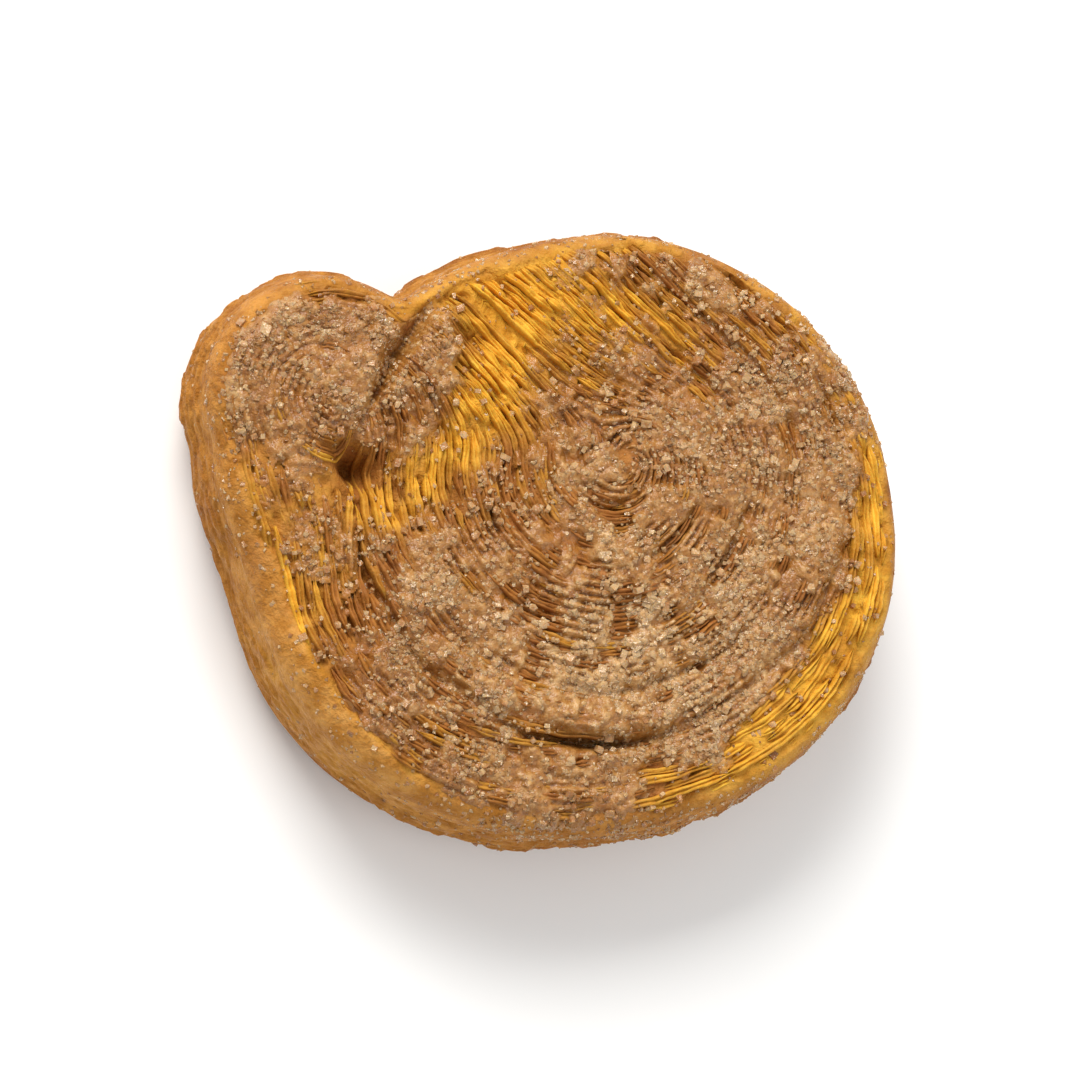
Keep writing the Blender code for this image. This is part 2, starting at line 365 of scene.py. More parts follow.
def furrows(x, y):
    """Fine furrows between the leaves of the large scroll, 0 to 1."""
    angle, rho, inner = from_big_eye(x, y)
    share = turn_share(rho, inner, angle)
    apart = (turn_reach(share + SMALL_SHARE, inner, angle) - rho) / SMALL_SHARE / BIG_LEAVES
    rise = (turn_reach(share, inner, angle + SMALL_TURN) - rho) / SMALL_TURN
    pitch = apart / np.hypot(1.0, rise / np.maximum(rho, 0.5))
    split = 2.0 ** np.clip(np.ceil(np.log2(np.maximum(pitch, 0.1) / WIDEST_LEAF)), 0.0, 3.0)
    count = share * BIG_LEAVES + SHEET_LEAVES * (angle - LARGE_START) / math.tau
    wave = np.cos(math.tau * (count * split - 0.5 * (split > 1.0)) + 0.8 * grain(x, y, 1.5, 20))
    return np.clip(0.5 + 0.5 * wave, 0.0, 1.0) ** 2 * (rho < inner) * ease(0.04, 0.12, share)


def crumb_top(x, y):
    """Height of the surface between and under the leaves' tops."""
    fill = crust(x, y)
    lumpy = 0.22 * grain(x, y, 0.85, 11) + 0.16 * grain(x, y, 0.42, 12)
    below = 0.16 + 0.26 * (1.0 - fill) + GAP_DEPTH * slots(x, y) - lumpy * fill
    below = np.maximum(below, 0.0) + 0.22 * furrows(x, y) * (1.0 - 0.7 * fill)
    return face_form(x, y) - below * leafy(x, y) + 0.05 * grain(x, y, 1.2, 13)


def foot_form(x, y):
    """Height of the underside, which the tray pressed flat apart from the lines between turns."""
    angle, rho, inner = from_big_eye(x, y)
    depth_in = np.maximum(0.0, -whole_field(x, y))
    turn = turn_share(rho, inner, angle) * BIG_LEAVES / SHEET_LEAVES + angle / math.tau
    ditch = np.exp(-((turn - np.floor(turn) - 0.5) / 0.10) ** 2) * (rho < inner)
    height = 0.5 * ditch + 0.8 * np.exp(-((rho - inner) / 0.6) ** 2)
    height += np.clip(0.25 * grain(x, y, 4.5, 14) + 0.1 * grain(x, y, 1.5, 15), 0.0, 1.0)
    outward = np.clip(1.0 - depth_in / FOOT_ROUND, 0.0, 1.0)
    return height + FOOT_ROUND * (1.0 - np.sqrt(1.0 - outward ** 2))


SPOKES = 560
INNER_ROWS = 108
FOLD_ROWS = 48
WALL_ROWS = 62
SWELL = 0.45
FLAKE = 0.19
FLAKE_LEVELS = (-0.42, -0.16, 0.08, 0.34, 0.58)
MIDDLE_FLAKE = 0.5 * len(FLAKE_LEVELS)
FOOT_LIFT = 0.25
FOOT_INNER_ROWS = 30
FOOT_FOLD_ROWS = 16
crowd = 1.0 + 0.9 * lobe(compass, 160.0, 30.0)
crowd_sum = np.concatenate(([0.0], np.cumsum(0.5 * (crowd[1:] + crowd[:-1]))))
spokes = np.interp(np.arange(SPOKES) / SPOKES * crowd_sum[-1], crowd_sum, compass)
spoke_inner = np.interp(spokes, compass, inner_table)
spoke_outer = np.interp(spokes, compass, outer_table)


def polar_rows(inner_rows, fold_rows):
    """Plan positions of the rings of one face, from the large eye to the edge."""
    shares = np.arange(1, inner_rows + 1)[:, None] / inner_rows
    folds = np.arange(1, fold_rows + 1)[:, None] / fold_rows
    folds = 1.0 - (1.0 - folds) ** 1.25
    rho = np.vstack((spoke_inner * shares, spoke_inner + (spoke_outer - spoke_inner) * folds))
    return BIG_EYE[0] + np.cos(spokes) * rho, BIG_EYE[1] + np.sin(spokes) * rho


top_x, top_y = polar_rows(INNER_ROWS, FOLD_ROWS)
top_z = crumb_top(top_x, top_y)
foot_x, foot_y = polar_rows(FOOT_INNER_ROWS, FOOT_FOLD_ROWS)
foot_z = foot_form(foot_x, foot_y)[::-1] + FOOT_LIFT
foot_x = foot_x[::-1]
foot_y = foot_y[::-1]
down = np.arange(1, WALL_ROWS + 1)[:, None] / (WALL_ROWS + 1)
wall_z = top_z[-1] + (foot_z[0] - top_z[-1]) * down
edge_x = top_x[-1]
edge_y = top_y[-1]
arc = np.cumsum(np.hypot(np.diff(edge_x, append=edge_x[:1]), np.diff(edge_y, append=edge_y[:1])))
around = np.broadcast_to(arc, wall_z.shape)
girth = float(arc[-1])
closing = ease(girth - 8.0, girth, around)


def unrolled(size_along, size_up, seed):
    """Random relief on the unrolled side, joined without a step where its ends meet."""
    stretch = size_up / size_along
    near = grain(around * stretch, wall_z, size_up, seed)
    far = grain((around - girth) * stretch, wall_z, size_up, seed)
    return near * (1.0 - closing) + far * closing


out_x = np.gradient(edge_y)
out_y = -np.gradient(edge_x)
length = np.hypot(out_x, out_y)
out_x = out_x / length
out_y = out_y / length
swell = SWELL * np.sin(math.pi * down)
ends = np.minimum(1.0, 6.0 * np.minimum(down, 1.0 - down))
worn = 0.55 * unrolled(9.0, 3.6, 16) + 0.34 * unrolled(3.0, 1.3, 17) + 0.22 * unrolled(1.3, 0.7, 18)
worn = worn + 0.10 * unrolled(0.6, 0.45, 15) + 0.25 * (down - 0.5)
flakes = sum(ease(level - 0.035, level + 0.035, worn) for level in FLAKE_LEVELS)
# Painted shade in a narrow band at the foot of each flake step on the side.
flake_step_shade = sum(np.exp(-((worn - level + 0.04) / 0.045) ** 2) for level in FLAKE_LEVELS)
blister = FLAKE * (flakes - MIDDLE_FLAKE) + 0.16 * unrolled(5.0, 5.0, 14) + 0.10 * unrolled(1.6, 9.0, 13)
blister = blister + 0.05 * unrolled(0.7, 0.5, 12)
wall_x = edge_x + out_x * (swell + blister * ends)
wall_y = edge_y + out_y * (swell + blister * ends)
eye_top = np.array([[BIG_EYE[0], BIG_EYE[1], float(crumb_top(*BIG_EYE))]])
eye_foot = np.array([[BIG_EYE[0], BIG_EYE[1], FOOT_LIFT]])
rows_x = np.vstack((top_x, wall_x, foot_x))
rows_y = np.vstack((top_y, wall_y, foot_y))
rows_z = np.vstack((top_z, wall_z, foot_z))
rows_flake = np.vstack((0.0 * top_z + MIDDLE_FLAKE, flakes, 0.0 * foot_z + MIDDLE_FLAKE))
# Painted flake-step shade, on the side only.
rows_step_shade = np.vstack((0.0 * top_z, flake_step_shade * ends, 0.0 * foot_z))
row_points = np.column_stack((rows_x.ravel(), rows_y.ravel(), rows_z.ravel()))
crumb_points = np.vstack((row_points, eye_top, eye_foot))

SIDE_ROOM = 0.25
HEIGHT_ROOM = 0.02
span_low = crumb_points.min(axis=0)
span_high = crumb_points.max(axis=0)
plan_middle = 0.5 * (span_low + span_high)[:2]
box_size = 1000.0 * np.array(cad_high - cad_low)
plan_scale = (box_size[:2] - 2.0 * SIDE_ROOM) / (span_high - span_low)[:2]
box_middle = 500.0 * np.array(cad_high + cad_low)[:2]


def placed(points):
    """Model millimetres to metres in the biscuit's own place."""
    moved = np.array(points, float)
    moved[:, :2] = (moved[:, :2] - plan_middle) * plan_scale + box_middle
    moved[:, 2] = np.clip(moved[:, 2], HEIGHT_ROOM, box_size[2] - HEIGHT_ROOM)
    return moved * 0.001


def piece(name, points, faces, material, values):
    """A shown mesh with one smooth value per point for each named attribute."""
    mesh = bpy.data.meshes.new(name)
    mesh.from_pydata(placed(points).tolist(), [], faces)
    for key, data in values.items():
        layer = mesh.attributes.new(key, "FLOAT", "POINT")
        layer.data.foreach_set("value", np.asarray(data, dtype=np.float32))
    mesh.polygons.foreach_set("use_smooth", np.ones(len(mesh.polygons), dtype=bool))
    mesh.materials.append(material)
    thing = bpy.data.objects.new(name, mesh)
    bpy.context.scene.collection.objects.link(thing)
    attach(thing, "root")
    return thing


def gold(x, y):
    """Where the leaves baked yellow, 1, or brown, 0."""
    near_seam = 0.10 * hill(x, y, *SEAM_GOLD) - 0.55 * hill(x, y, *SEAM_TOAST)
    near_seam = near_seam - 0.45 * hill(x, y, *LEFT_TOAST)
    edge = 0.6 * ease(2.6, 0.8, -whole_field(x, y)) * (1.0 - crust(x, y))
    whole = golden_band(x, y) + 0.5 * hill(x, y, *LEFT_GOLD) + near_seam + 0.65 * hill(x, y, *TOP_GOLD)
    whole = whole + right_rim(x, y) + edge
    return np.clip(whole + 0.20 * grain(x, y, 3.0, 19), 0.0, 1.0)


def mix_colours(tree, factor, first, second):
    """A colour mix; each argument is a socket or a fixed colour."""
    mix = tree.nodes.new("ShaderNodeMix")
    mix.data_type = "RGBA"
    for socket, value in ((mix.inputs[0], factor), (mix.inputs[6], first), (mix.inputs[7], second)):
        if isinstance(value, bpy.types.NodeSocket):
            tree.links.new(value, socket)
        else:
            socket.default_value = value
    return mix.outputs[2]


def speckle(tree, size, detail, low, high):
    """Fine noise in the biscuit's own metres, stretched to run from 0 to 1 between low and high."""
    place = tree.nodes.new("ShaderNodeTexCoord")
    noise = tree.nodes.new("ShaderNodeTexNoise")
    noise.inputs["Scale"].default_value = 1.0 / size
    noise.inputs["Detail"].default_value = detail
    noise.inputs["Roughness"].default_value = 0.6
    tree.links.new(place.outputs["Object"], noise.inputs["Vector"])
    stretch = tree.nodes.new("ShaderNodeMapRange")
    stretch.inputs["From Min"].default_value = low
    stretch.inputs["From Max"].default_value = high
    tree.links.new(noise.outputs["Fac"], stretch.inputs["Value"])
    return stretch.outputs["Result"]


def mesh_value(tree, key):
    """One of the mesh's own values, by name, as a socket."""
    value = tree.nodes.new("ShaderNodeAttribute")
    value.attribute_name = key
    return value.outputs["Fac"]


def bumps(tree, size, detail, strength, height):
    """Fine relief of the surface, as a normal."""
    bump = tree.nodes.new("ShaderNodeBump")
    bump.inputs["Strength"].default_value = strength
    bump.inputs["Distance"].default_value = height
    tree.links.new(speckle(tree, size, detail, 0.3, 0.7), bump.inputs["Height"])
    return bump.outputs["Normal"]


def browning_group():
    """Colour of baked leaves: gold to brown, duller under sugar; the Depth value paints shade, dark and
    red, down in the gaps, and colours pooled caramel at the foot.
    """
    tree = bpy.data.node_groups.new("oven_browning", "ShaderNodeTree")
    for name, usual in (("Gold", 0.5), ("Sugar", 0.5), ("Depth", 0.0), ("Pale", 0.0)):
        tree.interface.new_socket(name, in_out="INPUT", socket_type="NodeSocketFloat").default_value = usual
    tree.interface.new_socket("Color", in_out="OUTPUT", socket_type="NodeSocketColor")
    take = tree.nodes.new("NodeGroupInput")
    give = tree.nodes.new("NodeGroupOutput")
    patches = speckle(tree, 0.0016, 3.0, 0.38, 0.62)
    flecks = speckle(tree, 0.00045, 2.0, 0.40, 0.66)
    brown = mix_colours(tree, patches, (0.25, 0.085, 0.014, 1.0), (0.41, 0.162, 0.028, 1.0))
    yellow = mix_colours(tree, patches, (0.66, 0.303, 0.022, 1.0), (0.84, 0.470, 0.050, 1.0))
    leaf = mix_colours(tree, take.outputs["Gold"], brown, yellow)
    sugared = mix_colours(tree, flecks, (0.24, 0.086, 0.024, 1.0), (0.45, 0.198, 0.066, 1.0))
    leaf = mix_colours(tree, take.outputs["Sugar"], leaf, sugared)
    skin = mix_colours(tree, patches, (0.33, 0.120, 0.013, 1.0), (0.50, 0.212, 0.036, 1.0))
    light_skin = mix_colours(tree, patches, (0.42, 0.170, 0.023, 1.0), (0.60, 0.290, 0.068, 1.0))
    skin = mix_colours(tree, take.outputs["Gold"], skin, light_skin)
    leaf = mix_colours(tree, take.outputs["Pale"], leaf, skin)
    toasted = speckle(tree, 0.0065, 2.0, 0.50, 0.72)
    darker = mix_colours(tree, 0.55, leaf, (0.27, 0.085, 0.022, 1.0))
    leaf = mix_colours(tree, toasted, leaf, darker)
    # Painted shade: the Depth colour darkens and reddens the gaps, the leaves' sides and the side's flake
    # steps; near the foot it is pooled caramel.
    deep = mix_colours(tree, take.outputs["Gold"], (0.26, 0.086, 0.012, 1.0), (0.67, 0.320, 0.024, 1.0))
    leaf = mix_colours(tree, take.outputs["Depth"], leaf, deep)
    tree.links.new(leaf, give.inputs["Color"])
    return tree


oven_browning = browning_group()


def pastry_material(name, roughness, bump_size, bump_height):
    """Crisp baked pastry that reads its browning from the mesh's own values."""
    material = bpy.data.materials.new(name)
    material.use_nodes = True
    tree = material.node_tree
    links = tree.links
    shader = tree.nodes["Principled BSDF"]
    colour = tree.nodes.new("ShaderNodeGroup")
    colour.node_tree = oven_browning
    for key in ("Gold", "Sugar", "Depth", "Pale"):
        links.new(mesh_value(tree, key.lower()), colour.inputs[key])
    links.new(colour.outputs["Color"], shader.inputs["Base Color"])
    rough = tree.nodes.new("ShaderNodeMapRange")
    rough.inputs["To Min"].default_value = roughness - 0.12
    rough.inputs["To Max"].default_value = roughness + 0.15
    links.new(speckle(tree, 0.0012, 2.0, 0.35, 0.65), rough.inputs["Value"])
    links.new(rough.outputs["Result"], shader.inputs["Roughness"])
    links.new(bumps(tree, bump_size, 3.0, 0.8, bump_height), shader.inputs["Normal"])
    shader.inputs["Specular IOR Level"].default_value = 0.14
    shader.inputs["Subsurface Weight"].default_value = 0.12
    shader.inputs["Subsurface Radius"].default_value = (1.0, 0.5, 0.15)
    shader.inputs["Subsurface Scale"].default_value = 0.0005
    return material


crumb_material = pastry_material("baked_crumb", 0.62, 0.0006, 0.00022)


def ring_faces(first, last):
    """Quads between the rings of points from one row to another."""
    faces = []
    for row in range(first, last):
        for spoke in range(SPOKES):
            after = (spoke + 1) % SPOKES
            faces.append((row * SPOKES + spoke, (row + 1) * SPOKES + spoke,
                          (row + 1) * SPOKES + after, row * SPOKES + after))
    return faces


def crumb_values(points, flake, step_shade):
    """Browning of the crumb and skin at each point, with painted shade in the face's open gaps, pits and
    furrows and under the side's flake steps.
    """
    x, y, z = points.T
    open_face = leafy(x, y)
    low_left = ease(-2.0, 14.0, -(x * 0.75 + y * 0.65))
    lumpy = 0.5 - 0.5 * (0.6 * grain(x, y, 0.85, 11) + 0.5 * grain(x, y, 0.42, 12))
    # Painted shade in the crust's low spots between lumps and in the furrows between bare leaves.
    pit_shade = 0.55 * crust(x, y) * ease(0.45, 0.95, lumpy)
    furrow_shade = 0.55 * furrows(x, y) * (1.0 - crust(x, y))
    under_crack = 0.8 * lobe(bearing(x, y), 266.0, 24.0)
    low_down = ease(14.5, 11.5, z)
    mottle = grain(x * 0.7 + y * 0.7, z, 3.4, 6) + 0.6 * grain(x - y, z, 1.6, 7)
    toasted_skin = np.clip(0.5 * ease(2.6, 4.2, flake) + 0.8 * ease(-0.1, 0.7, mottle), 0.0, 1.0)
    toasted_skin = toasted_skin * low_down * (1.0 - 0.6 * low_left)
    pale_rim = (0.85 + 0.45 * mottle) * smooth_rim(x, y) * ease(3.0, 9.0, z) * (1.0 - open_face)
    glazed = 0.60 * ease(0.1, 0.7, grain(x + 0.4 * y, z, 2.6, 8) + 0.4 * mottle) * low_down
    pooled = 0.70 * ease(2.8, 0.5, z + 0.7 * grain(x + y, z, 2.0, 5))
    # On the side: painted shade under the flake steps, and pooled caramel near the foot.
    on_side = np.maximum(0.75 * step_shade * (1.0 - 0.5 * low_left), pooled)
    golden = gold(x, y) * (1.0 - 0.85 * low_down) - 0.6 * toasted_skin + pale_rim
    sugared = np.maximum(crust(x, y) * ease(0.0, 1.2, -whole_field(x, y)), under_crack)
    # Depth value: painted shade in the open gaps, pits and furrows of the face, and on the side the painted
    # flake-step shade and pooled caramel.
    sunk = np.clip(1.1 * slots(x, y) + pit_shade + furrow_shade, 0.0, 1.0) * open_face + on_side
    skin = 0.35 + 0.45 * low_down + 0.6 * low_left - 0.85 * toasted_skin
    return {
        "gold": np.clip(golden, 0.0, 1.0),
        "sugar": np.maximum(sugared, glazed),
        "depth": np.clip(sunk, 0.0, 1.0),
        "pale": (1.0 - open_face) * np.clip(skin, 0.0, 1.0),
    }


row_count = rows_x.shape[0]
top_rows = INNER_ROWS + FOLD_ROWS
last_row = (row_count - 1) * SPOKES
eye = row_count * SPOKES
eye_fan = [(eye, spoke, (spoke + 1) % SPOKES) for spoke in range(SPOKES)]
foot_fan = [(eye + 1, last_row + (spoke + 1) % SPOKES, last_row + spoke) for spoke in range(SPOKES)]
top_faces = ring_faces(0, top_rows - 1) + eye_fan
side_faces = ring_faces(top_rows - 1, row_count - 1) + foot_fan
crumb_faces = top_faces + side_faces


def used_part(faces):
    """The points that some faces use, and those faces renumbered to them."""
    used = sorted({corner for face in faces for corner in face})
    order = {corner: index for index, corner in enumerate(used)}
    return used, [tuple(order[corner] for corner in face) for face in faces]


crumb_flake = np.concatenate((rows_flake.ravel(), (MIDDLE_FLAKE, MIDDLE_FLAKE)))
# Painted flake-step shade for each point, none at the two eyes.
crumb_step_shade = np.concatenate((rows_step_shade.ravel(), (0.0, 0.0)))
for name, faces in (("cut_face_crumb", top_faces), ("side_and_foot_crust", side_faces)):
    used, part_faces = used_part(faces)
    shades = crumb_values(crumb_points[used], crumb_flake[used], crumb_step_shade[used])
    crumb = piece(name, crumb_points[used], part_faces, crumb_material, shades)
    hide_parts("palmier")


# ---------------------------------------------------------------------------------------------
# The leaves: thin crisp layers of the rolled sheet, cut across and stood on edge by the oven.
# They follow the two scrolls inward from the notch and run side by side through the outer fold.
# Each is a narrow wavy strip sunk into the crumb, with a torn, uneven top.
STEP = 0.30
NARROWEST_LEAF = 0.36
SMALL_LEAVES = 11
SMALL_SHEET_LEAVES = 6
SMALL_CORE = 6.6
SMALL_START = math.radians(30.0)
SMOOTHED = 9
FOLD_PITCH = 0.64
FOLD_START = 0.90
FOLD_LEAVES = 16
FOLD_SEED = math.radians(226.0)
LEAF_DEPTH = 2.1
# Cross section of a leaf, split along its top: across, in widths, and down, in depths.
PROFILE = ((-0.50, 1.00), (-0.51, 0.30), (-0.42, 0.07), (-0.23, 0.00), (-0.06, 0.12),
           (0.06, 0.12), (0.24, 0.0), (0.42, 0.08), (0.51, 0.34), (0.50, 1.00))


def big_scroll_lines():
    """Plan lines of the large scroll's leaves, wound counter-clockwise toward the eye."""
    lines = []
    for strand in np.arange(0.0, SHEET_LEAVES, 0.25):
        line = []
        turn_count = 0
        turned = -math.tau * (strand + 0.5) / SHEET_LEAVES
        while True:
            angle = LARGE_START + turned
            share = 1.0 - (strand + 0.5 + SHEET_LEAVES * turned / math.tau) / BIG_LEAVES
            if share < 0.03:
                break
            inner = float(np.interp(angle % math.tau, compass, inner_table))
            rho = float(turn_reach(share, inner, angle))
            past_notch = (math.degrees(angle) - NOTCH_BEARING) // 360.0
            if line and past_notch != turn_count:
                lines.append(np.array(line))
                line = []
            turn_count = past_notch
            rise = (float(turn_reach(share, inner, angle + SMALL_TURN)) - rho) / SMALL_TURN
            next_out = float(turn_reach(share + SMALL_SHARE, inner, angle))
            apart = (next_out - rho) / SMALL_SHARE / BIG_LEAVES
            pitch = apart / math.hypot(1.0, rise / rho) if rho < inner - 0.12 else 0.0
            split = 1 if pitch < WIDEST_LEAF else 2 if pitch < 2.0 * WIDEST_LEAF else 4
            placed_here = (strand * split) % 1.0 == 0.0
            if placed_here and (pitch > NARROWEST_LEAF or (pitch > 0.0 and strand % 2 == 0)):
                wide = min(max(pitch, 0.40) / split, 0.95)
                line.append((BIG_EYE[0] + rho * math.cos(angle), BIG_EYE[1] + rho * math.sin(angle), wide))
            elif line:
                lines.append(np.array(line))
                line = []
            turned += STEP / max(math.hypot(rho, rise), 0.8)
        if line:
            lines.append(np.array(line))
    return lines


def small_reach(angle):
    """How far the small scroll's own turns reach from its eye, flattened against the seam."""
    reached = SMALL_CORE
    for rho in np.arange(2.0, SMALL_CORE, 0.1):
        x = SMALL_EYE[0] + rho * math.cos(angle)
        y = SMALL_EYE[1] + rho * math.sin(angle)
        _, from_eye, inner = from_big_eye(x, y)
        if from_eye < inner + 0.5:
            reached = float(rho)
            break
    return reached


small_compass = np.linspace(0.0, math.tau, 181)
small_table = np.array([small_reach(angle) for angle in small_compass])
wrapped = np.concatenate((small_table[-SMOOTHED:], small_table, small_table[:SMOOTHED]))
small_table = np.convolve(wrapped, np.ones(SMOOTHED) / SMOOTHED, "same")[SMOOTHED:-SMOOTHED]


def small_scroll_lines():
    """Plan lines of the small scroll's leaves, wound clockwise toward its eye."""
    lines = []
    for strand in range(SMALL_SHEET_LEAVES):
        line = []
        turned = 0.0
        while True:
            angle = SMALL_START - turned
            share = 1.0 - (strand + 0.5 + SMALL_SHEET_LEAVES * turned / math.tau) / SMALL_LEAVES
            if share < 0.06:
                break
            edge = float(np.interp(angle % math.tau, small_compass, small_table))
            rho = share * edge
            x = SMALL_EYE[0] + rho * math.cos(angle)
            y = SMALL_EYE[1] + rho * math.sin(angle)
            line.append((x, y, edge / SMALL_LEAVES))
            turned += STEP / max(rho, 0.8)
        lines.append(np.array(line))
    return lines


def slope(x, y):
    """Unit direction out of the roll."""
    gx = whole_field(x + 0.05, y) - whole_field(x - 0.05, y)
    gy = whole_field(x, y + 0.05) - whole_field(x, y - 0.05)
    size = math.hypot(gx, gy) + 1e-9
    return gx / size, gy / size


def in_fold(x, y):
    """True in the outer fold, outside both scrolls' own turns."""
    _, rho, inner = from_big_eye(x, y)
    small_rho = math.hypot(x - SMALL_EYE[0], y - SMALL_EYE[1])
    small_angle = math.atan2(y - SMALL_EYE[1], x - SMALL_EYE[0]) % math.tau
    return rho > inner + 0.35 and small_rho > np.interp(small_angle, small_compass, small_table) + 0.2


def fold_lines():
    """Plan lines of the outer fold's leaves, side by side at even depths under the skin."""
    lines = []
    rho_line = np.arange(0.0, 34.0, 0.02)
    seed_x = BIG_EYE[0] + math.cos(FOLD_SEED) * rho_line
    seed_y = BIG_EYE[1] + math.sin(FOLD_SEED) * rho_line
    depths = -whole_field(seed_x, seed_y)
    for count in range(FOLD_LEAVES):
        level = FOLD_START + FOLD_PITCH * count
        inside = np.nonzero(depths > level)[0]
        place = (float(seed_x[inside[-1]]), float(seed_y[inside[-1]]))
        if not in_fold(*place):
            break
        halves = []
        for way in (1.0, -1.0):
            x, y = place
            half = []
            for _ in range(600):
                gx, gy = slope(x, y)
                x += way * STEP * -gy
                y += way * STEP * gx
                off = float(whole_field(x, y)) + level
                gx, gy = slope(x, y)
                x -= gx * off
                y -= gy * off
                if not in_fold(x, y):
                    break
                half.append((x, y, FOLD_PITCH))
            halves.append(half)
        lines.append(np.array(halves[1][::-1] + [(place[0], place[1], FOLD_PITCH)] + halves[0]))
    return lines


def leaf_strips(lines, seed, profile, sunk, upside):
    """Strips along plan lines, broken here and there. Returns points, faces and values."""
    pick = np.random.default_rng(seed)
    caramel = 0.5 if upside else 0.0
    facing = 1 if upside else -1
    width = len(profile)
    points = []
    faces = []
    values = {"gold": [], "sugar": [], "depth": [], "pale": []}
    base = 0
    for number, line in enumerate(lines):
        start = 0
        while start < len(line) - 4:
            count = int(10 + 42 * pick.random() ** 1.5)
            part = line[start:start + count]
            start += count + int(pick.integers(-3, 3))
            if len(part) < 4:
                continue
            along = np.arange(len(part)) * STEP + 100.0 * pick.random()
            lane = np.full(len(part), 3.7 * number + seed)
            x, y, pitch = part.T
            tx = np.gradient(x)
            ty = np.gradient(y)
            size = np.hypot(tx, ty) + 1e-9
            nx = ty / size
            ny = -tx / size
            fill = crust(x, y)
            sway = 0.12 * grain(along, lane, 3.2, 20) + 0.05 * grain(along, lane, 0.9, 21)
            lean = 0.18 * grain(along, lane, 4.5, 22)
            from_end = np.minimum(np.arange(len(part)), np.arange(len(part))[::-1])
            taper = np.minimum(1.0, 0.16 + from_end / pick.uniform(3.5, 7.0))
            thick = pitch * (0.94 - 0.20 * slots(x, y) + 0.16 * grain(along, lane, 1.3, 23)) * taper
            thick = thick + 0.05 * grain(along, lane, 0.6, 19)
            rise = 0.20 * grain(along, lane, 2.0, 0) + 0.15 * grain(along, lane, 0.6, 1)
            rise = rise + 0.13 * pick.standard_normal() - 0.45 * (1.0 - taper)
            rise = rise - 0.30 * ease(0.30, 0.9, fill) - 0.6 * hill(x, y, *PIT_HOLLOW)
            rise = rise - 0.7 * (1.0 - leafy(x, y))
            if upside:
                top = foot_form(x, y) + 0.02 + np.clip(-rise - 0.05, 0.0, 1.0)
            else:
                top = face_form(x, y) + rise
            ring = []
            shades = []
            # Painted shade: darker down the leaf's sides into the crumb and along the split in its top.
            for across, depth in profile:
                in_split = abs(across) < 0.1
                if in_split:
                    across = across + 0.16 * grain(along, lane, 1.7, 5)
                side = across * thick + sway + lean * (1.0 - depth)
                tear = 0.13 * grain(along, lane + 5.0 * across, 0.45, 24) * (depth < 0.2)
                z = top + facing * (sunk * depth + tear)
                ring.append(np.column_stack((x + nx * side, y + ny * side, z)))
                shades.append(0.45 if in_split else 0.9 * float(ease(0.08, 0.55, depth)))
            points.append(np.stack(ring, axis=1).reshape(-1, 3))
            tint = 0.22 * pick.standard_normal() + 0.20 * grain(along, lane, 1.5, 4)
            tint = tint * (1.0 - 0.55 * golden_band(x, y)) + 0.12 * golden_band(x, y)
            golden = np.clip((gold(x, y) + tint) * (1.0 - caramel), 0.0, 1.0)
            values["gold"].append(np.repeat(golden, width))
            values["sugar"].append(np.repeat(np.clip(fill * 0.85, 0.0, 1.0), width))
            values["depth"].append(np.tile(shades, len(part)))
            values["pale"].append(np.zeros(len(part) * width))
            for index in range(len(part) - 1):
                for side in range(width):
                    near = base + index * width + side
                    beside = base + index * width + (side + 1) % width
                    faces.append((near, beside, beside + width, near + width)[::facing])
            cap = tuple(base + side for side in range(width))
            far = tuple(base + (len(part) - 1) * width + side for side in range(width))
            faces.append(cap[::-facing])
            faces.append(far[::facing])
            base += len(part) * width
    joined = {key: np.concatenate(data) for key, data in values.items()}
    return np.vstack(points), faces, joined


leaf_material = pastry_material("crisp_leaves", 0.5, 0.0003, 0.00006)
big_lines = big_scroll_lines()
small_lines = small_scroll_lines()
outer_lines = fold_lines()
face_leaves = []
for name, lines, seed in (("large_scroll_leaves", big_lines, 101),
                          ("small_scroll_leaves", small_lines, 102),
                          ("outer_fold_leaves", outer_lines, 103)):
    points, faces, values = leaf_strips(lines, seed, PROFILE, LEAF_DEPTH, False)
    face_leaves.append((points, faces))
    piece(name, points, faces, leaf_material, values)


# ---------------------------------------------------------------------------------------------
# The underside: the other cut ends of the same leaves, pressed flat by the tray. The sugar there
# has run to caramel, so they are browner, lower and plainer than those of the face.
FOOT_MARGIN = 2.1
FOOT_LEAF_DEPTH = 1.1
FOOT_PROFILE = ((-0.50, 1.00), (-0.48, 0.10), (-0.15, 0.0), (0.18, 0.02), (0.47, 0.12), (0.50, 1.00))


def over_foot(lines):
    """The stretches of plan lines that lie on the flat underside, clear of its rounded edge."""
    kept = []
    for line in lines:
        inside = -whole_field(line[:, 0], line[:, 1]) > FOOT_MARGIN
        breaks = np.nonzero(np.diff(inside.astype(int)))[0] + 1
        for stretch, on_foot in zip(np.split(line, breaks), np.split(inside, breaks)):
            if on_foot[0]:
                kept.append(stretch)
    return kept


foot_lines = over_foot(big_lines + small_lines + outer_lines)
points, faces, values = leaf_strips(foot_lines, 104, FOOT_PROFILE, FOOT_LEAF_DEPTH, True)
piece("underside_leaves", points, faces, leaf_material, values)


# ---------------------------------------------------------------------------------------------
# The melted sugar crust: sugar pressed on before baking has run together over the leaves, as a
# lumpy tan glaze that cracks open here and there along the gaps between them. It lies thick on
# the middle of the face, thin at its edges, and not at all on the bare yellow leaves.
CRUST_STEP = 0.15
LUMP = 0.78
FINE_LUMP = 0.40
LOWER_SUGAR = (1.0, -9.5, 9.0, 5.0)
LOWER_EDGE = (-2.0, -22.0, 13.0, 2.0)
SMALL_SCROLL = (-20.0, 10.0, 7.0, 7.0)
